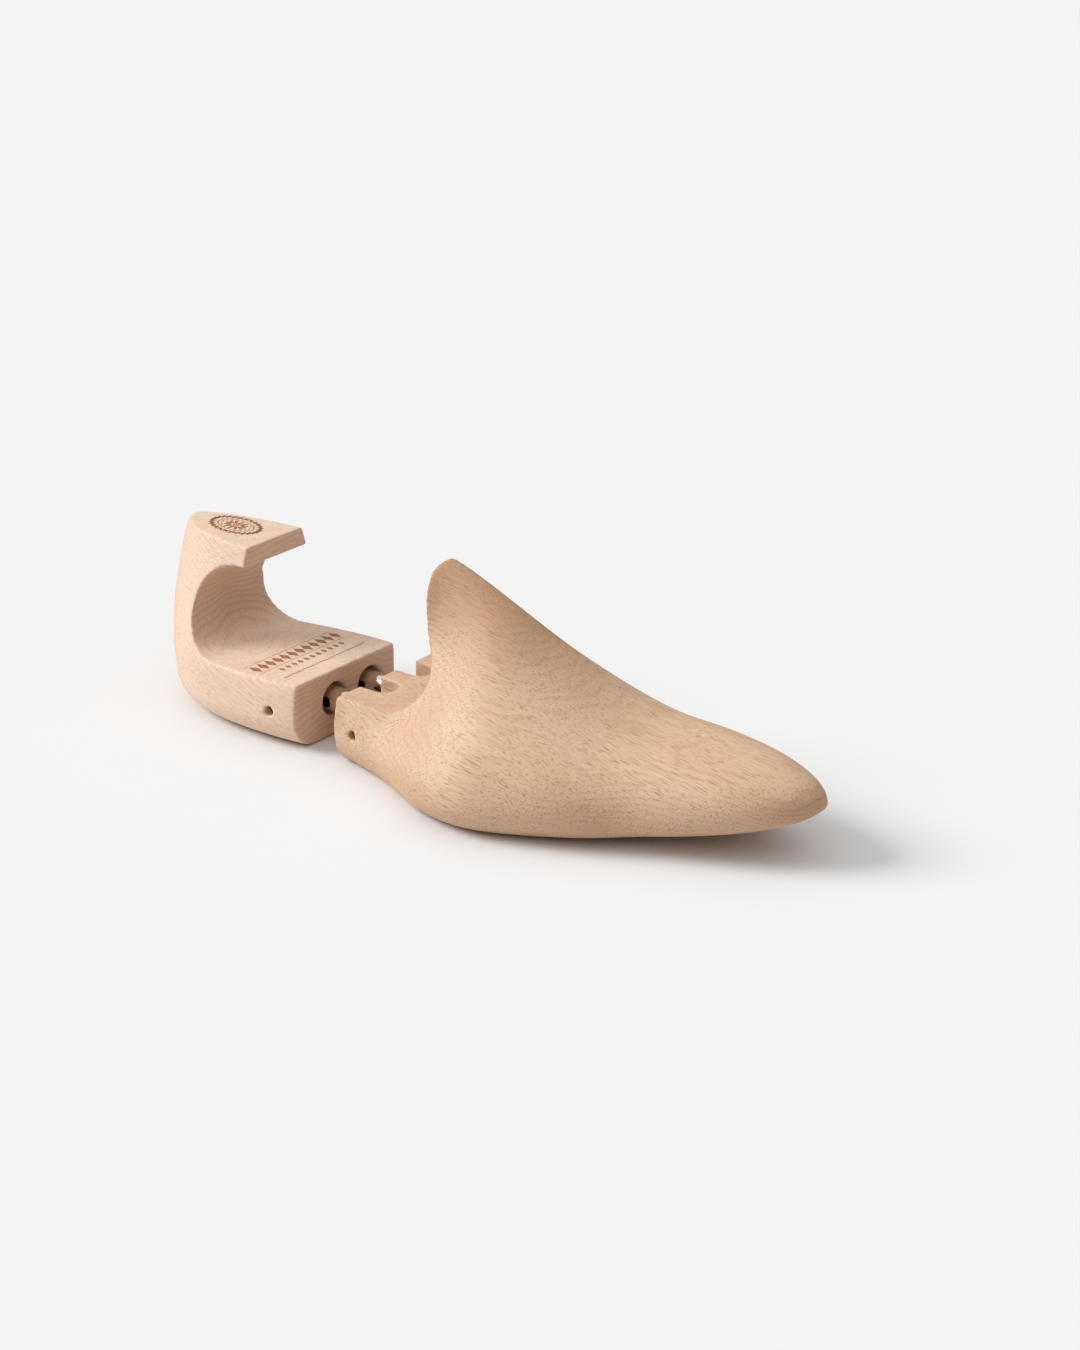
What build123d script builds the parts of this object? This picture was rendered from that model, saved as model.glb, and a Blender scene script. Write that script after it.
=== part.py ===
from build123d import *
from bisect import bisect_right
from math import cos, pi, sin, sqrt
import os

os.makedirs("parts", exist_ok=True)

# Right-foot lasted shoe tree, millimetres. +X to the toe, +Y to the inner (big toe) side, +Z up.
# Origin: on the sole plane, under the fold pin, midway between the two tubes.

# Mechanism
AXIS_Z = 14.4            # tube axes and both cross pins
TUBE_Y = 10.0            # each tube sits this far either side of the middle
TUBE_R, TUBE_WALL = 5.0, 1.0
PIN_R = 1.99
HOLE_R = 2.0             # pin holes in timber
RUN_R = 2.05             # pin holes that turn on a pin
BORE_R, BORE_DEPTH = 6.7, 54.0
SLOT_W, SLOT_IN = 10.8, 12.8
TRAVEL = 11.5            # how far the heel block can be pushed up the tubes
REAR_X = -10.0           # rear face of the forepart
HEEL_X = REAR_X - 18.0   # front face of the heel block, spring at rest
HEEL_PIN_X = HEEL_X - 11.8
TUBE_BACK, TUBE_FRONT = HEEL_X - 22.0, 3.8
DECK_Z = 26.4            # flat of the heel block and deck of the forepart
SPRING_R, SPRING_WIRE, SPRING_TURNS = 5.6, 0.6, 7

# Timber
HEEL_TOP, HEEL_BACK_TOP = 67.8, 69.2
LIP_X = HEEL_X - 38.0
SCOOP_X, SCOOP_Z, SCOOP_R = HEEL_X - 42.5, 43.3, 16.9
TOE_X, TOE_Y, TOE_Z = 175.0, 15.0, 20.1
BALL_X = 122.0           # the toe closes as a parabola from here
RING = 40                # points that a loft follows round one section
FINE = 240               # points first worked out round one section


def through(*knots):
    """A smooth curve through (position, value) pairs, as a function."""
    xs, ys = zip(*knots)
    d = [(b - a) / (q - p) for p, q, a, b in zip(xs, xs[1:], ys, ys[1:])]
    m = [d[0]] + [0.0 if a * b <= 0 else 2 * a * b / (a + b) for a, b in zip(d, d[1:])] + [d[-1]]

    def value(x):
        i = min(max(bisect_right(xs, x) - 1, 0), len(d) - 1)
        h = xs[i + 1] - xs[i]
        t = (x - xs[i]) / h
        return ((1 + 2 * t) * (1 - t) ** 2 * ys[i] + t * t * (3 - 2 * t) * ys[i + 1]
                + t * (1 - t) ** 2 * h * m[i] - t * t * (1 - t) * h * m[i + 1])

    return value


def ring(points):
    """One closed section, re-spaced evenly round its length so that a loft stays smooth."""
    loop = [Vector(*p) for p in points]
    run = [0.0]
    for p, q in zip(loop, loop[1:] + loop[:1]):
        run.append(run[-1] + (q - p).length)
    even = []
    for k in range(RING):
        at = run[-1] * k / RING
        i = bisect_right(run, at) - 1
        t = (at - run[i]) / (run[i + 1] - run[i])
        even.append(loop[i] + (loop[(i + 1) % len(loop)] - loop[i]) * t)
    steps = [k / RING for k in range(RING + 1)]
    return Wire([Edge.make_spline(even, periodic=True, parameters=steps)])


def box(x, y, z):
    """A block from three (low, high) pairs."""
    size = [b - a for a, b in (x, y, z)]
    return Pos(*[(a + b) / 2 for a, b in (x, y, z)]) * Box(*size)


def along_x(radius, x, y, z=AXIS_Z):
    return Pos(sum(x) / 2, y, z) * Rot(0, 90, 0) * Cylinder(radius, x[1] - x[0])


def across(radius, x, y, z=AXIS_Z):
    return Pos(x, sum(y) / 2, z) * Rot(90, 0, 0) * Cylinder(radius, y[1] - y[0])


def cut_through(profile, half_width=80):
    """A prism across the whole width from a closed profile in XZ."""
    return extrude(Plane.XZ * profile, half_width, both=True)


# Heel block: level sections stacked from the sole to the top pad. The right flank runs straight back.
# The left one closes in by left_taper for each millimetre back, and heel_left is its width at the lip.
heel_right = through((-1, 35.6), (12, 35.7), (22, 35.2), (32, 32.0), (44, 25.8), (58, 19.0), (72, 14.4))
heel_left = through((-1, 21.7), (14, 21.8), (24, 20.3), (34, 19.8), (44, 19.5), (58, 17.9), (72, 14.0))
left_taper = through((-1, 0.12), (14, 0.12), (24, 0.17), (34, 0.19), (72, 0.19))
heel_back = through((-1, 80.4), (14, 81.8), (28, 83.4), (42, 84.8), (56, 84.2), (72, 79.8))
heel_mid = through((-1, 28), (14, 28.3), (28, 32), (42, 38.5), (56, 45), (72, 49))
heel_bulge = through((-1, 2.3), (28, 2.3), (72, 2.05))


def heel_section(z, inset=0.0):
    mid, power = heel_mid(z), 2 / heel_bulge(z)
    points = []
    for k in range(FINE):
        c, s = cos(2 * pi * k / FINE), sin(2 * pi * k / FINE)
        length = 60 if c > 0 else heel_back(z) - mid - inset
        x = HEEL_X - mid + (1 if c > 0 else -1) * abs(c) ** power * length
        width = (heel_left(z) + left_taper(z) * (x - LIP_X) if s > 0 else heel_right(z)) - inset
        points.append((x, (1 if s > 0 else -1) * abs(s) ** power * width, z))
    return points


rounding = [(12 * (1 - cos(a * pi / 180)), 12 * (1 - sin(a * pi / 180))) for a in (0, 16, 33, 51, 70, 90)]
levels = [heel_section(z, inset) for z, inset in rounding]
levels += [heel_section(z) for z in (19, 26, 33, 40, 47, 54, 61, 67, 72)]
heel = Solid.make_loft([ring(points) for points in levels])
heel -= box((HEEL_X, HEEL_X + 90), (-80, 80), (-5, 90))
scoop = Pos(SCOOP_X, 0, SCOOP_Z) * Rot(90, 0, 0) * Cylinder(SCOOP_R, 160)
scoop += box((SCOOP_X, LIP_X + 90), (-80, 80), (DECK_Z, SCOOP_Z + SCOOP_R))
scoop += box((LIP_X, LIP_X + 90), (-80, 80), (DECK_Z, 90))
pad = Polyline((LIP_X + 5, HEEL_TOP), (LIP_X + 5, 90), (LIP_X - 60, 90),
               (LIP_X - 60, HEEL_TOP + (HEEL_BACK_TOP - HEEL_TOP) * 60 / 38), close=True)
heel -= scoop
heel -= cut_through(make_face(pad))
for y in (-TUBE_Y, TUBE_Y):
    heel -= along_x(BORE_R, (HEEL_X - BORE_DEPTH, HEEL_X + 1), y)
heel -= across(HOLE_R, HEEL_PIN_X, (-60, 60))

# Forepart: upright sections from the rear face to the toe.
fore_right = through((-18, 29.6), (2, 32.8), (17, 37.3), (32, 44.2), (47, 50.1), (62, 51.5), (77, 47.4),
                     (92, 41.2), (107, 33.2), (BALL_X, 23.9))
fore_left = through((-18, 26.6), (2, 26), (17, 26.9), (32, 28.7), (47, 31.9), (62, 35.6), (77, 38.5), (92, 39.9),
                    (107, 40.3), (BALL_X, 40.3))
ridge_z = through((-18, 80), (2, 78.5), (14, 77), (22, 74.5), (34.6, 69.1), (50, 61.3), (64, 53.5), (79, 45.8),
                  (93, 39.2), (106, 35.6), (BALL_X, 33.9))
ridge_y = through((-18, 4), (14, 7), (50, 9.5), (79, 11.5), (BALL_X, TOE_Y))
sole_z = through((-18, -1.2), (78, -1.2), (102, 0.4), (BALL_X, 2.8))
sole_round = through((-18, 10.7), (17, 10.4), (47, 13.5), (77, 18.6), (102, 19.8), (BALL_X, 19.3))
pinch_y = through((-18, 0.14), (0, 0.32), (18, 0.62), (32, 0.54), (52, 0.27), (72, 0.12), (97, 0),
                  (BALL_X, -0.08))
pinch_z = through((-18, 0.2), (0, 0.42), (18, 0.67), (32, 0.58), (52, 0.36), (72, 0.18), (97, 0.02),
                  (BALL_X, -0.05))


def fore_section(x):
    u = min((TOE_X - x) / (TOE_X - BALL_X), 1.0)
    at = min(x, BALL_X)
    close = sqrt(u)
    right = TOE_Y - (TOE_Y + fore_right(at)) * close
    left = TOE_Y + (fore_left(at) - TOE_Y) * close
    top = TOE_Z + (ridge_z(at) - TOE_Z) * (sqrt(1 - (1 - u) ** 2.6) if u < 1 else 1)
    sole = TOE_Z - (TOE_Z - sole_z(at)) * u ** 0.59
    crest = ridge_y(at)
    waist = sole + (0.32 * (top - sole) if x > 92 else 13.3 + (x - 92) * 0.002)
    tuck = sole_round(at) * (left - right) / (fore_left(at) + fore_right(at))
    by, bz = pinch_y(at), pinch_z(at)
    points = []
    for k in range(FINE // 2):
        a = 2 * pi * k / FINE
        c, s = cos(a), sin(a)
        side = left if c > 0 else right
        y = crest + (side - crest) * abs(c) * (1 - by + by * c * c)
        points.append((x, y, waist + (top - waist) * s * (1 - bz + bz * s * s)))
    tuck_in = [(tuck * (1 - cos(a)), (waist - sole) * sin(a)) for a in (pi / 2 * k / 30 for k in range(31))]
    points += [(x, right + dy, waist - dz) for dy, dz in tuck_in]
    points += [(x, left - dy, waist - dz) for dy, dz in reversed(tuck_in[1:])]
    return points[FINE // 4:] + points[:FINE // 4]   # each section starts on the ridge


stations = [-18, -8, 2, 10, 17, 24, 32, 41, 51, 64, 78, 92, 106, 119, 131, 142, 152, 160, 166, 170.5, 173.3, 174.6]
fore = Solid.make_loft([ring(fore_section(x)) for x in stations])
fore -= box((-60, REAR_X), (-80, 80), (-5, 95))
fore -= box((-60, 200), (-80, 80), (-5, 0))
comb = [(14.0, DECK_Z), (16.8, 26.9), (20.6, 29.2), (24.0, 32.5), (25.9, 36.0), (25.6, 39.8), (23.2, 43.7),
        (19.0, 49.0), (15.4, 55.0), (12.9, 61.2), (11.5, 67.2), (11.5, 71.2), (13.2, 74.6), (16.6, 76.6),
        (26.0, 77.6)]
hollow = make_face(Spline(*comb) + Polyline(comb[-1], (26.0, 99), (-40, 99), (-40, DECK_Z), comb[0]))
fore -= cut_through(hollow)
for y in (-TUBE_Y, TUBE_Y):
    end_x = REAR_X + SLOT_IN - SLOT_W / 2
    slot = box((REAR_X - 5, end_x), (y - SLOT_W / 2, y + SLOT_W / 2), (AXIS_Z - TUBE_R - 0.3, 60))
    slot += Pos(end_x, y, 30 + AXIS_Z - TUBE_R - 0.3) * Cylinder(SLOT_W / 2, 60)
    slot += across(6.9, 0, (y - SLOT_W / 2, y + SLOT_W / 2))
    fore -= slot
fore -= across(HOLE_R, 0, (-60, 60))

# Pins stop short of the flanks, as in the real tree.
heel_pin = across(PIN_R, HEEL_PIN_X, (-31.5, 23.5))
fold_pin = across(PIN_R, 0, (-28.5, 22.5))

export_step(heel, "parts/heel_block.step")
export_step(fore, "parts/forepart.step")
export_step(heel_pin, "parts/heel_cross_pin.step")
export_step(fold_pin, "parts/fold_pin.step")

# One sprung tube on each side: steel tube, nylon ends, coil spring and its seat.
for side, y in (("right", -TUBE_Y), ("left", TUBE_Y)):
    tube = along_x(TUBE_R, (TUBE_BACK, TUBE_FRONT), y)
    tube -= along_x(TUBE_R - TUBE_WALL, (TUBE_BACK - 1, TUBE_FRONT + 1), y)
    tube -= box((HEEL_PIN_X, HEEL_PIN_X + TRAVEL), (y - 8, y + 8), (AXIS_Z - RUN_R, AXIS_Z + RUN_R))
    for x in (HEEL_PIN_X, HEEL_PIN_X + TRAVEL, 0):
        tube -= across(RUN_R, x, (y - 8, y + 8))
    eye = along_x(TUBE_R - TUBE_WALL - 0.01, (-7, TUBE_FRONT), y) - across(RUN_R, 0, (y - 8, y + 8))
    guide = along_x(BORE_R - 0.05, (TUBE_BACK - 8, TUBE_BACK), y)
    guide += along_x(TUBE_R - TUBE_WALL - 0.01, (TUBE_BACK - 1, TUBE_BACK + 5), y)
    seat = along_x(BORE_R - 0.1, (HEEL_X - BORE_DEPTH, HEEL_X - BORE_DEPTH + 1), y)
    seat -= along_x(2.5, (HEEL_X - BORE_DEPTH - 1, HEEL_X - BORE_DEPTH + 2), y)
    low, high = HEEL_X - BORE_DEPTH + 1 + SPRING_WIRE, TUBE_BACK - 8 - SPRING_WIRE
    path = Helix((high - low) / SPRING_TURNS, high - low, SPRING_R, (low, y, AXIS_Z), (1, 0, 0))
    spring = sweep(Plane(path @ 0, z_dir=path % 0) * Circle(SPRING_WIRE), path=path)
    for name, shape in (("tube", tube), ("eye_plug", eye), ("guide_plug", guide), ("spring_seat", seat),
                        ("spring", spring)):
        export_step(shape, f"parts/{name}_{side}.step")
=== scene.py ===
from math import cos, pi, radians, sin

import bpy
import bmesh
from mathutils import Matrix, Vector
from mathutils.bvhtree import BVHTree


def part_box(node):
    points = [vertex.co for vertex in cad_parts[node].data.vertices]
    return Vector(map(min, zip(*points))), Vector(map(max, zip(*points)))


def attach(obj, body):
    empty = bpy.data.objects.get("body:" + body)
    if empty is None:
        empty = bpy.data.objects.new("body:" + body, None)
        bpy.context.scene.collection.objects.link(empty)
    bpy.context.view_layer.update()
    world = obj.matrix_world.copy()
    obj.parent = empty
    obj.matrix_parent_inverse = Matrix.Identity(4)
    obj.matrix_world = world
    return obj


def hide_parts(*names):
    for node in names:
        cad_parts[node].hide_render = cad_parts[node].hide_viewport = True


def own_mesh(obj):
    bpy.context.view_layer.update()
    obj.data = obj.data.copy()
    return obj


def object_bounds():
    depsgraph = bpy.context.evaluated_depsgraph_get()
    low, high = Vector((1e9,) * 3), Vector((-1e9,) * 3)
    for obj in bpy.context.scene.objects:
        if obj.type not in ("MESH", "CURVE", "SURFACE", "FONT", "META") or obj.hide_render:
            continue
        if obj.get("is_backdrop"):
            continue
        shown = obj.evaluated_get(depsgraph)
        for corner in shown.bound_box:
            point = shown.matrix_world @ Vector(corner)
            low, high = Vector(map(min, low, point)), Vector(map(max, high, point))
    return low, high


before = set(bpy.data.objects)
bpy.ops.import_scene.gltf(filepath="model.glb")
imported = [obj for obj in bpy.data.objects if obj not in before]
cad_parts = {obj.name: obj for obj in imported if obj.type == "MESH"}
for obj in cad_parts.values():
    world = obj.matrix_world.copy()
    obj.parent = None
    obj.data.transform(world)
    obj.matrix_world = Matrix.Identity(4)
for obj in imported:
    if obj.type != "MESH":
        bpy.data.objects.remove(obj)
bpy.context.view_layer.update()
scene = bpy.context.scene
MM = 0.001


# --------------------------------------------------------------------------------------------------
# Heel block. One piece of steamed beech, shaped on a copying lathe, scooped out for two fingers and
# bored for the tubes. It is fine-sanded and left bare, so every arris is only just broken.
# --------------------------------------------------------------------------------------------------

def rgb(code):
    """An sRGB hex colour as the linear colour that sockets take."""
    parts = [int(code[i:i + 2], 16) / 255 for i in (0, 2, 4)]
    return [c / 12.92 if c <= 0.04045 else ((c + 0.055) / 1.055) ** 2.4 for c in parts] + [1.0]


def add(tree, kind, values=(), **settings):
    """Adds a node. values pairs an input with a number, a colour or another node's output socket."""
    node = tree.nodes.new(kind)
    for name, value in settings.items():
        setattr(node, name, value)
    for key, value in values:
        if isinstance(value, bpy.types.NodeSocket):
            tree.links.new(value, node.inputs[key])
        else:
            node.inputs[key].default_value = value
    return node


def new_material(name):
    """A material that holds only a Principled surface: the material, its tree and that surface."""
    made = bpy.data.materials.new(name)
    made.use_nodes = True
    tree = made.node_tree
    tree.nodes.clear()
    surface = add(tree, "ShaderNodeBsdfPrincipled")
    add(tree, "ShaderNodeOutputMaterial", [("Surface", surface.outputs[0])])
    return made, tree, surface


def beech(name, tilt, light, dark, end, line, ring_gap, heart_depth, fleck, darker_above):
    """Bare sanded beech: short dark rays along the grain, faint growth rings, darker on end grain.

    tilt is how far the grain dips towards the toe, ring_gap the width of one year's growth, and heart_depth
    how far below the sole the heart of the tree lay, so that the rings run nearly level. fleck is how
    strongly the rays show. Above the height given as the last argument the colour turns darker, towards the
    end-grain tone.
    """
    made, tree, surface = new_material(name)
    where = add(tree, "ShaderNodeTexCoord")
    grain = add(tree, "ShaderNodeMapping", [("Vector", where.outputs["Object"]), ("Rotation", (0, -tilt, 0))])
    along = grain.outputs[0]
    # slow drift of tone, patches about 60 mm long and 20 mm wide
    drift = add(tree, "ShaderNodeMapping", [("Vector", along), ("Scale", (17, 50, 50))])
    tone = add(tree, "ShaderNodeTexNoise", [("Vector", drift.outputs[0]), ("Scale", 1.0), ("Detail", 3.0)])
    # one year's ring after another, wandering by a few millimetres
    bend = add(tree, "ShaderNodeMapping", [("Vector", along), ("Scale", (18, 36, 36))])
    sway = add(tree, "ShaderNodeTexNoise", [("Vector", bend.outputs[0]), ("Scale", 1.0), ("Detail", 1.5)])
    axes = add(tree, "ShaderNodeSeparateXYZ", [(0, along)])
    up = add(tree, "ShaderNodeMath", [(0, axes.outputs[2]), (1, heart_depth)], operation="ADD")
    flat = add(tree, "ShaderNodeCombineXYZ", [(1, axes.outputs[1]), (2, up.outputs[0])])
    radius = add(tree, "ShaderNodeVectorMath", [(0, flat.outputs[0])], operation="LENGTH")
    swayed = add(tree, "ShaderNodeMath", [(0, sway.outputs[0]), (1, 0.018), (2, radius.outputs["Value"])],
                 operation="MULTIPLY_ADD")
    years = add(tree, "ShaderNodeMath", [(0, swayed.outputs[0]), (1, ring_gap)], operation="DIVIDE")
    year = add(tree, "ShaderNodeMath", [(0, years.outputs[0])], operation="FRACT")
    late = add(tree, "ShaderNodeMapRange",
               [("Value", year.outputs[0]), ("From Min", 0.45), ("From Max", 0.97)],
               interpolation_type="SMOOTHSTEP")
    # rays cut lengthwise, 4 to 7 mm long and 0.3 mm wide
    dash = add(tree, "ShaderNodeMapping", [("Vector", along), ("Scale", (150, 3000, 3000))])
    rays = add(tree, "ShaderNodeTexNoise", [("Vector", dash.outputs[0]), ("Scale", 1.0), ("Detail", 0.0)])
    ray = add(tree, "ShaderNodeMapRange",
              [("Value", rays.outputs[0]), ("From Min", 0.60), ("From Max", 0.72)])
    # fibre, 0.2 mm across: finer than the real 0.02 mm so that it shows
    strand = add(tree, "ShaderNodeMapping", [("Vector", along), ("Scale", (300, 4200, 4200))])
    fibre = add(tree, "ShaderNodeTexNoise", [("Vector", strand.outputs[0]), ("Scale", 1.0), ("Detail", 2.0)])
    # how squarely the surface cuts across the grain
    facing = add(tree, "ShaderNodeSeparateXYZ", [(0, where.outputs["Normal"])])
    square = add(tree, "ShaderNodeMath", [(0, facing.outputs[0])], operation="ABSOLUTE")
    cut = add(tree, "ShaderNodeMapRange",
              [("Value", square.outputs[0]), ("From Min", 0.3), ("From Max", 0.9)],
              interpolation_type="SMOOTHSTEP")

    body = add(tree, "ShaderNodeMix", [("Factor", tone.outputs[0]), ("A", rgb(light)), ("B", rgb(dark))],
               data_type="RGBA")
    cut_share = add(tree, "ShaderNodeMath", [(0, cut.outputs[0]), (1, 0.6)], operation="MULTIPLY")
    ended = add(tree, "ShaderNodeMix", [("Factor", cut_share.outputs[0]), ("A", body.outputs["Result"]),
                                        ("B", rgb(end))], data_type="RGBA")
    # above a set height the colour is mixed towards the end-grain tone, up to three quarters over 22 mm
    height = add(tree, "ShaderNodeSeparateXYZ", [(0, where.outputs["Object"])])
    high = add(tree, "ShaderNodeMapRange", [("Value", height.outputs[2]), ("From Min", darker_above),
                                            ("From Max", darker_above + 22 * MM), ("To Max", 0.75)],
               interpolation_type="SMOOTHSTEP")
    darkened_above = add(tree, "ShaderNodeMix", [("Factor", high.outputs[0]), ("A", ended.outputs["Result"]),
                                       ("B", rgb(end))], data_type="RGBA")
    late_share = add(tree, "ShaderNodeMath", [(0, cut.outputs[0]), (1, 0.15), (2, 0.11)],
                     operation="MULTIPLY_ADD")
    ring_share = add(tree, "ShaderNodeMath", [(0, late.outputs[0]), (1, late_share.outputs[0])],
                     operation="MULTIPLY")
    ringed = add(tree, "ShaderNodeMix", [("Factor", ring_share.outputs[0]), ("A", darkened_above.outputs["Result"]),
                                         ("B", rgb(line))], data_type="RGBA")
    fibre_share = add(tree, "ShaderNodeMapRange", [("Value", fibre.outputs[0]), ("From Min", 0.4),
                                                   ("From Max", 0.75), ("To Max", 0.2)])
    fibred = add(tree, "ShaderNodeMix", [("Factor", fibre_share.outputs[0]), ("A", ringed.outputs["Result"]),
                                         ("B", rgb(line))], data_type="RGBA")
    ray_share = add(tree, "ShaderNodeMath", [(0, ray.outputs[0]), (1, fleck)], operation="MULTIPLY")
    rayed = add(tree, "ShaderNodeMix", [("Factor", ray_share.outputs[0]), ("A", fibred.outputs["Result"]),
                                        ("B", rgb("8f5f3d"))], data_type="RGBA")
    tree.links.new(rayed.outputs["Result"], surface.inputs["Base Color"])
    matt = add(tree, "ShaderNodeMapRange", [("Value", fibre.outputs[0]), ("To Min", 0.46), ("To Max", 0.64)])
    tree.links.new(matt.outputs[0], surface.inputs["Roughness"])
    surface.inputs["IOR"].default_value = 1.45
    raised = add(tree, "ShaderNodeBump", [("Height", fibre.outputs[0]), ("Strength", 0.2),
                                          ("Distance", 0.1 * MM)])
    tree.links.new(raised.outputs[0], surface.inputs["Normal"])
    return made


def timber(node, body, grid, passes, wood):
    """A CAD timber piece with its arrises broken: welded, remeshed on a grid, eased by smoothing passes."""
    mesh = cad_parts[node].data.copy()
    work = bmesh.new()
    work.from_mesh(mesh)
    bmesh.ops.remove_doubles(work, verts=work.verts, dist=0.001 * MM)
    work.to_mesh(mesh)
    work.free()
    blank = bpy.data.objects.new(node + "_blank", mesh)
    scene.collection.objects.link(blank)
    remesh = blank.modifiers.new("grid", "REMESH")
    remesh.mode, remesh.voxel_size = "VOXEL", grid
    ease = blank.modifiers.new("ease", "SMOOTH")
    ease.factor, ease.iterations = 0.5, passes
    done = bpy.data.meshes.new_from_object(blank.evaluated_get(bpy.context.evaluated_depsgraph_get()))
    bpy.data.objects.remove(blank)
    done.materials.clear()
    done.materials.append(wood)
    for face in done.polygons:
        face.use_smooth = True
        face.material_index = 0
    piece = bpy.data.objects.new(node + "_timber", done)
    scene.collection.objects.link(piece)
    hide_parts(node)
    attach(piece, body)


heel_beech = beech("beech_heel_sanded", tilt=radians(20), light="f3d9c3", dark="eaccb2", end="d3a686",
                   line="a9744f", ring_gap=2.2 * MM, heart_depth=110 * MM, fleck=0.3, darker_above=200 * MM)
timber("heel_block", "heel", 0.62 * MM, 5, heel_beech)


# --------------------------------------------------------------------------------------------------
# Burnt marks. A laser scorches a leaf wreath into the pad and bands of lozenges into the flat, a few
# hundredths of a millimetre deep. They are drawn as thin scorched flakes let into the wood.
# --------------------------------------------------------------------------------------------------
FLAKE = 0.5 * MM                 # most of this is below the surface
PROUD = 0.04 * MM
scorch, scorch_tree, scorch_surface = new_material("beech_scorched")
scorch_spot = add(scorch_tree, "ShaderNodeTexNoise",
                  [("Vector", add(scorch_tree, "ShaderNodeTexCoord").outputs["Object"]), ("Scale", 900.0)])
scorch_mix = add(scorch_tree, "ShaderNodeMix", [("Factor", scorch_spot.outputs[0]), ("A", rgb("b98460")),
                                                ("B", rgb("7d4b30"))], data_type="RGBA")
scorch_tree.links.new(scorch_mix.outputs["Result"], scorch_surface.inputs["Base Color"])
scorch_surface.inputs["Roughness"].default_value = 0.8


def stroke_tree(name, spread, names):
    """A node tree that lays flat rounded strokes round an oval (spread "ring") or along a line ("row")."""
    tree = bpy.data.node_groups.new(name, "GeometryNodeTree")
    tree.interface.new_socket("Geometry", in_out="INPUT", socket_type="NodeSocketGeometry")
    tree.interface.new_socket("Count", in_out="INPUT", socket_type="NodeSocketInt")
    for each in names:
        tree.interface.new_socket(each, in_out="INPUT", socket_type="NodeSocketFloat")
    tree.interface.new_socket("Geometry", in_out="OUTPUT", socket_type="NodeSocketGeometry")
    given = add(tree, "NodeGroupInput").outputs
    if spread == "ring":
        line = add(tree, "GeometryNodeMeshCircle", [("Vertices", given["Count"]), ("Radius", 1.0)])
        size = add(tree, "ShaderNodeCombineXYZ", [(0, given["Half X"]), (1, given["Half Y"]), (2, 1.0)])
        points = add(tree, "GeometryNodeTransform", [("Geometry", line.outputs["Mesh"]),
                                                     ("Scale", size.outputs[0])])
        spot = add(tree, "ShaderNodeSeparateXYZ", [(0, add(tree, "GeometryNodeInputPosition").outputs[0])])
        out = add(tree, "ShaderNodeMath", [(0, spot.outputs[1]), (1, spot.outputs[0])], operation="ARCTAN2")
        turned_out = add(tree, "ShaderNodeMath", [(0, out.outputs[0]), (1, given["Lean"])], operation="ADD")
        turn = turned_out.outputs[0]
        laid = points.outputs[0]
    else:
        step = add(tree, "ShaderNodeCombineXYZ", [(1, given["Step"])])
        line = add(tree, "GeometryNodeMeshLine", [("Count", given["Count"]), ("Offset", step.outputs[0])])
        laid, turn = line.outputs["Mesh"], given["Lean"]
    flake = add(tree, "GeometryNodeMeshCylinder", [("Vertices", given["Corners"]), ("Radius", 0.5),
                                                   ("Depth", 1.0)])
    spin = add(tree, "ShaderNodeCombineXYZ", [(2, turn)])
    scale = add(tree, "ShaderNodeCombineXYZ", [(0, given["Long"]), (1, given["Wide"]), (2, FLAKE)])
    set_out = add(tree, "GeometryNodeInstanceOnPoints",
                  [("Points", laid), ("Instance", flake.outputs["Mesh"]), ("Rotation", spin.outputs[0]),
                   ("Scale", scale.outputs[0])])
    real = add(tree, "GeometryNodeRealizeInstances", [("Geometry", set_out.outputs[0])])
    burnt = add(tree, "GeometryNodeSetMaterial", [("Geometry", real.outputs[0]), ("Material", scorch)])
    add(tree, "NodeGroupOutput", [(0, burnt.outputs[0])])
    return tree


def grown(tree, **inputs):
    """The plain mesh that a node tree makes from these inputs."""
    holder = bpy.data.objects.new("holder", bpy.data.meshes.new("holder"))
    scene.collection.objects.link(holder)
    modifier = holder.modifiers.new("nodes", "NODES")
    modifier.node_group = tree
    for item in tree.interface.items_tree:
        key = item.name.replace(" ", "_").lower()
        if item.in_out == "INPUT" and key in inputs:
            modifier[item.identifier] = inputs[key]
    mesh = bpy.data.meshes.new_from_object(holder.evaluated_get(bpy.context.evaluated_depsgraph_get()))
    bpy.data.objects.remove(holder)
    return mesh


ring_of = stroke_tree("strokes_round_an_oval", "ring",
                      ("Half X", "Half Y", "Lean", "Long", "Wide", "Corners"))
row_of = stroke_tree("strokes_in_a_row", "row", ("Step", "Lean", "Long", "Wide", "Corners"))


def burn(name, parts):
    """Lets strokes into the top of the heel block. parts holds (mesh, centre x, centre y) in metres."""
    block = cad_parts["heel_block"].data
    surface = BVHTree.FromPolygons([vertex.co for vertex in block.vertices],
                                   [tuple(face.vertices) for face in block.polygons])
    work = bmesh.new()
    for mesh, x, y in parts:
        for vertex in mesh.vertices:
            vertex.co += Vector((x, y, 0))
            spot = surface.ray_cast(Vector((vertex.co.x, vertex.co.y, 0.2)), Vector((0, 0, -1)))[0]
            vertex.co.z += spot.z + PROUD - FLAKE / 2
        work.from_mesh(mesh)
    mesh = bpy.data.meshes.new(name)
    work.to_mesh(mesh)
    work.free()
    mesh.materials.append(scorch)
    piece = bpy.data.objects.new(name, mesh)
    scene.collection.objects.link(piece)
    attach(piece, "heel")


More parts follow.
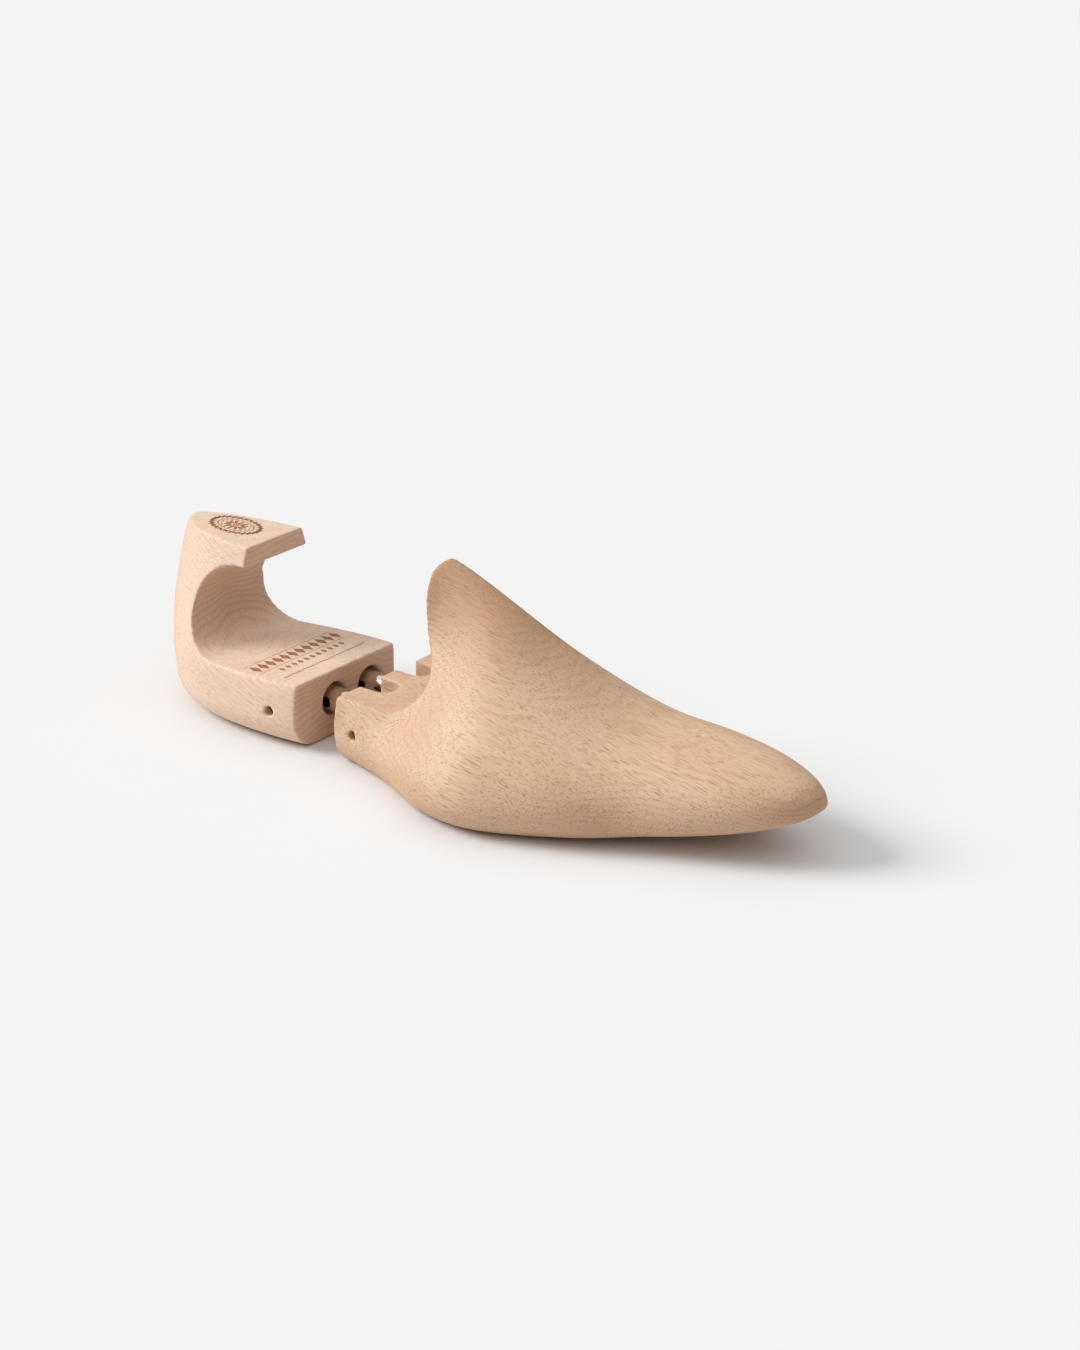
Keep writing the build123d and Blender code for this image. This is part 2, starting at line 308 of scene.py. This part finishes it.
pad_x, pad_y = -86.5 * MM, -0.5 * MM
wreath = [(grown(ring_of, count=26, half_x=11.2 * MM, half_y=7.0 * MM, lean=lean, long=3.4 * MM,
                 wide=1.0 * MM, corners=8), pad_x, pad_y) for lean in (0.9, -0.9)]
wreath += [(grown(ring_of, count=count, half_x=x * MM, half_y=y * MM, lean=lean, long=long * MM,
                  wide=wide * MM, corners=8), pad_x, pad_y)
           for count, x, y, lean, long, wide in (
               (44, 8.4, 4.9, pi / 2, 1.5, 0.35), (12, 3.9, 2.6, 0, 3.4, 1.3),
               (16, 6.9, 4.0, 0, 0.9, 0.9), (6, 1.0, 0.8, 0, 1.1, 0.6))]
burn("burnt_wreath", wreath)

bands = []
for x, y_low, y_high, step, long, wide, turn, corners in (
        (-55.6, -30, 16.5, 0.9, 1.1, 0.3, pi / 2, 6), (-47.0, -30, 16.5, 0.9, 1.1, 0.3, pi / 2, 6),
        (-51.3, -28.5, 15.5, 4.0, 7.0, 3.3, 0, 4), (-43.6, -22, 12.5, 3.3, 3.6, 1.9, 0, 4),
        (-37.2, -27, 17, 1.5, 1.5, 0.7, pi / 5, 6)):
    count = int((y_high - y_low) / step) + 1
    bands.append((grown(row_of, count=count, step=step * MM, lean=turn, long=long * MM, wide=wide * MM,
                        corners=corners), x * MM, y_low * MM))
burn("burnt_bands", bands)


# --------------------------------------------------------------------------------------------------
# Forepart. One piece of the same beech, turned to the last, with a finger hook at the back of the comb
# and two upright slots sawn for the tubes. Bare and sanded like the heel block, from a redder board.
# --------------------------------------------------------------------------------------------------
# from 40 mm up the forepart's colour turns darker, towards its end-grain tone
fore_beech = beech("beech_forepart_sanded", tilt=radians(9), light="e6c7a9", dark="d3aa86", end="b88c69",
                   line="8f5f3e", ring_gap=2.0 * MM, heart_depth=95 * MM, fleck=0.5, darker_above=40 * MM)
timber("forepart", "forepart", 0.75 * MM, 6, fore_beech)


# --------------------------------------------------------------------------------------------------
# Tubes. Thin steel tube, polished and nickel plated, slotted at the sides for the heel cross pin.
# --------------------------------------------------------------------------------------------------

def turned(node, body, finish, sharp=30):
    """A CAD piece with its seams welded, shaded smooth up to its real edges."""
    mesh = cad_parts[node].data.copy()
    work = bmesh.new()
    work.from_mesh(mesh)
    bmesh.ops.remove_doubles(work, verts=work.verts, dist=0.001 * MM)
    work.to_mesh(mesh)
    work.free()
    for face in mesh.polygons:
        face.use_smooth = True
        face.material_index = 0
    mesh.set_sharp_from_angle(angle=radians(sharp))
    mesh.materials.clear()
    mesh.materials.append(finish)
    piece = bpy.data.objects.new(node + "_finished", mesh)
    scene.collection.objects.link(piece)
    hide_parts(node)
    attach(piece, body)


# Nickel plate, buffed: mirror bright, with hairlines too shallow to see except as uneven gloss.
nickel, nickel_tree, nickel_surface = new_material("nickel_plate_buffed")
nickel_surface.inputs["Base Color"].default_value = rgb("dcd7ce")
nickel_surface.inputs["Metallic"].default_value = 1.0
hair_map = add(nickel_tree, "ShaderNodeMapping",
               [("Vector", add(nickel_tree, "ShaderNodeTexCoord").outputs["Object"]),
                ("Scale", (4000, 300, 300))])
hair = add(nickel_tree, "ShaderNodeTexNoise", [("Vector", hair_map.outputs[0]), ("Scale", 1.0)])
hair_gloss = add(nickel_tree, "ShaderNodeMapRange", [("Value", hair.outputs[0]), ("To Min", 0.06),
                                                     ("To Max", 0.14)])
nickel_tree.links.new(hair_gloss.outputs[0], nickel_surface.inputs["Roughness"])
for side in ("right", "left"):
    turned(f"tube_{side}", "tubes", nickel)


# --------------------------------------------------------------------------------------------------
# Plugs. Turned nylon, pressed into both ends of each tube: the front one is the hinge eye, the back one
# slides in the bore.
# --------------------------------------------------------------------------------------------------
# Natural nylon: milky, waxy and faintly mottled.
nylon, nylon_tree, nylon_surface = new_material("nylon_turned")
cloud = add(nylon_tree, "ShaderNodeTexNoise",
            [("Vector", add(nylon_tree, "ShaderNodeTexCoord").outputs["Object"]), ("Scale", 400.0)])
milk = add(nylon_tree, "ShaderNodeMix",
           [("Factor", cloud.outputs[0]), ("A", rgb("efe9dc")), ("B", rgb("ddd5c4"))],
           data_type="RGBA")
nylon_tree.links.new(milk.outputs["Result"], nylon_surface.inputs["Base Color"])
nylon_surface.inputs["Roughness"].default_value = 0.42
nylon_surface.inputs["IOR"].default_value = 1.53
for side in ("right", "left"):
    turned(f"eye_plug_{side}", "tubes", nylon)
    turned(f"guide_plug_{side}", "tubes", nylon)


# --------------------------------------------------------------------------------------------------
# Pins and spring seats. Drawn steel wire and punched washers, browned in oil against rust. The pins
# stop short of the flanks, so each end is sunk in its hole.
# --------------------------------------------------------------------------------------------------
pin_steel, pin_tree, pin_surface = new_material("steel_browned_wire")
pin_surface.inputs["Metallic"].default_value = 1.0
stain = add(pin_tree, "ShaderNodeTexNoise",
            [("Vector", add(pin_tree, "ShaderNodeTexCoord").outputs["Object"]), ("Scale", 700.0)])
stained = add(pin_tree, "ShaderNodeMix",
              [("Factor", stain.outputs[0]), ("A", rgb("5f564c")), ("B", rgb("3b332b"))],
              data_type="RGBA")
pin_tree.links.new(stained.outputs["Result"], pin_surface.inputs["Base Color"])
pin_surface.inputs["Roughness"].default_value = 0.34
turned("heel_cross_pin", "heel", pin_steel)
turned("fold_pin", "forepart", pin_steel)
for side in ("right", "left"):
    turned(f"spring_seat_{side}", "heel", pin_steel)


# --------------------------------------------------------------------------------------------------
# Springs. Oil-tempered wire coiled cold, one behind each tube.
# --------------------------------------------------------------------------------------------------
WIRE, COILS = 0.6 * MM, 7
temper, temper_tree, temper_surface = new_material("steel_oil_tempered")
blue = add(temper_tree, "ShaderNodeTexNoise",
           [("Vector", add(temper_tree, "ShaderNodeTexCoord").outputs["Object"]), ("Scale", 300.0)])
blued = add(temper_tree, "ShaderNodeMix",
            [("Factor", blue.outputs[0]), ("A", rgb("6d6c6e")), ("B", rgb("4c4b4f"))],
            data_type="RGBA")
temper_tree.links.new(blued.outputs["Result"], temper_surface.inputs["Base Color"])
temper_surface.inputs["Metallic"].default_value = 1.0
temper_surface.inputs["Roughness"].default_value = 0.38

coil_tree = bpy.data.node_groups.new("coil_spring", "GeometryNodeTree")
coil_tree.interface.new_socket("Geometry", in_out="INPUT", socket_type="NodeSocketGeometry")
for each in ("Turns", "Coil Radius", "Height", "Wire"):
    coil_tree.interface.new_socket(each, in_out="INPUT", socket_type="NodeSocketFloat")
coil_tree.interface.new_socket("Geometry", in_out="OUTPUT", socket_type="NodeSocketGeometry")
coil_in = add(coil_tree, "NodeGroupInput").outputs
helix = add(coil_tree, "GeometryNodeCurveSpiral",
            [("Resolution", 40), ("Rotations", coil_in["Turns"]), ("Start Radius", coil_in["Coil Radius"]),
             ("End Radius", coil_in["Coil Radius"]), ("Height", coil_in["Height"])])
section = add(coil_tree, "GeometryNodeCurvePrimitiveCircle",
              [("Resolution", 14), ("Radius", coil_in["Wire"])])
wire = add(coil_tree, "GeometryNodeCurveToMesh", [("Curve", helix.outputs[0]),
                                                  ("Profile Curve", section.outputs[0]), ("Fill Caps", True)])
wire_real = add(coil_tree, "GeometryNodeRealizeInstances", [("Geometry", wire.outputs[0])])
wire_steel = add(coil_tree, "GeometryNodeSetMaterial",
                 [("Geometry", wire_real.outputs[0]), ("Material", temper)])
add(coil_tree, "NodeGroupOutput", [(0, wire_steel.outputs[0])])

for side in ("right", "left"):
    low, high = (Vector(corner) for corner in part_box(f"spring_{side}"))
    middle, span = (low + high) / 2, high - low
    mesh = grown(coil_tree, turns=float(COILS), coil_radius=span.z / 2 - WIRE, height=span.x - 2 * WIRE,
                 wire=WIRE)
    for vertex in mesh.vertices:
        x, y, z = vertex.co
        vertex.co = (low.x + WIRE + z, middle.y + y, middle.z - x)
    for face in mesh.polygons:
        face.use_smooth = True
    spring = bpy.data.objects.new(f"spring_coils_{side}", mesh)
    scene.collection.objects.link(spring)
    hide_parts(f"spring_{side}")
    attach(spring, "heel")
    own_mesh(spring)


# --------------------------------------------------------------------------------------------------
# Stage: a pale paper sweep under a bright overhead dome, with a broad soft key from behind on the left.
# --------------------------------------------------------------------------------------------------
FLOOR_HALF = 8.0
floor_mesh = bpy.data.meshes.new("floor")
corners = ((-1, -1), (1, -1), (1, 1), (-1, 1))
floor_mesh.from_pydata([(x * FLOOR_HALF, y * FLOOR_HALF, -0.3 * MM) for x, y in corners], [], [(0, 1, 2, 3)])
floor = bpy.data.objects.new("floor", floor_mesh)
scene.collection.objects.link(floor)
paper, paper_tree, paper_surface = new_material("paper_pale")
paper_surface.inputs["Base Color"].default_value = rgb("e8e8e8")
paper_surface.inputs["Roughness"].default_value = 0.95
paper_surface.inputs["Specular IOR Level"].default_value = 0.0
floor_mesh.materials.append(paper)
floor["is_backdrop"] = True

world = bpy.data.worlds.new("studio")
scene.world = world
world.use_nodes = True
sky = world.node_tree
sky.nodes.clear()
sky_up = add(sky, "ShaderNodeSeparateXYZ", [(0, add(sky, "ShaderNodeTexCoord").outputs["Generated"])])
dome = add(sky, "ShaderNodeMapRange", [("Value", sky_up.outputs[2]), ("From Min", 0.2), ("From Max", 0.8),
                                       ("To Min", 0.1), ("To Max", 0.9)], interpolation_type="SMOOTHSTEP")
glow = add(sky, "ShaderNodeBackground", [("Color", rgb("ffffff")), ("Strength", dome.outputs[0])])
add(sky, "ShaderNodeOutputWorld", [("Surface", glow.outputs[0])])

key_light = bpy.data.lights.new("key", "SUN")
key_light.energy, key_light.angle = 2.4, radians(30)
key = bpy.data.objects.new("key", key_light)
scene.collection.objects.link(key)
key.rotation_euler = Vector((-0.74, -0.44, 0.58)).to_track_quat("Z", "Y").to_euler()

eye = bpy.data.cameras.new("camera")
eye.lens = 69.33
camera = bpy.data.objects.new("camera", eye)
scene.collection.objects.link(camera)
camera.location = (0.5935, -0.6725, 0.4087)
swing, dip = radians(38.27), radians(23.02)
ahead = Vector((-sin(swing) * cos(dip), cos(swing) * cos(dip), -sin(dip)))
camera.rotation_euler = ahead.to_track_quat("-Z", "Y").to_euler()
scene.camera = camera
scene.view_settings.view_transform = "Standard"

low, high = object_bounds()
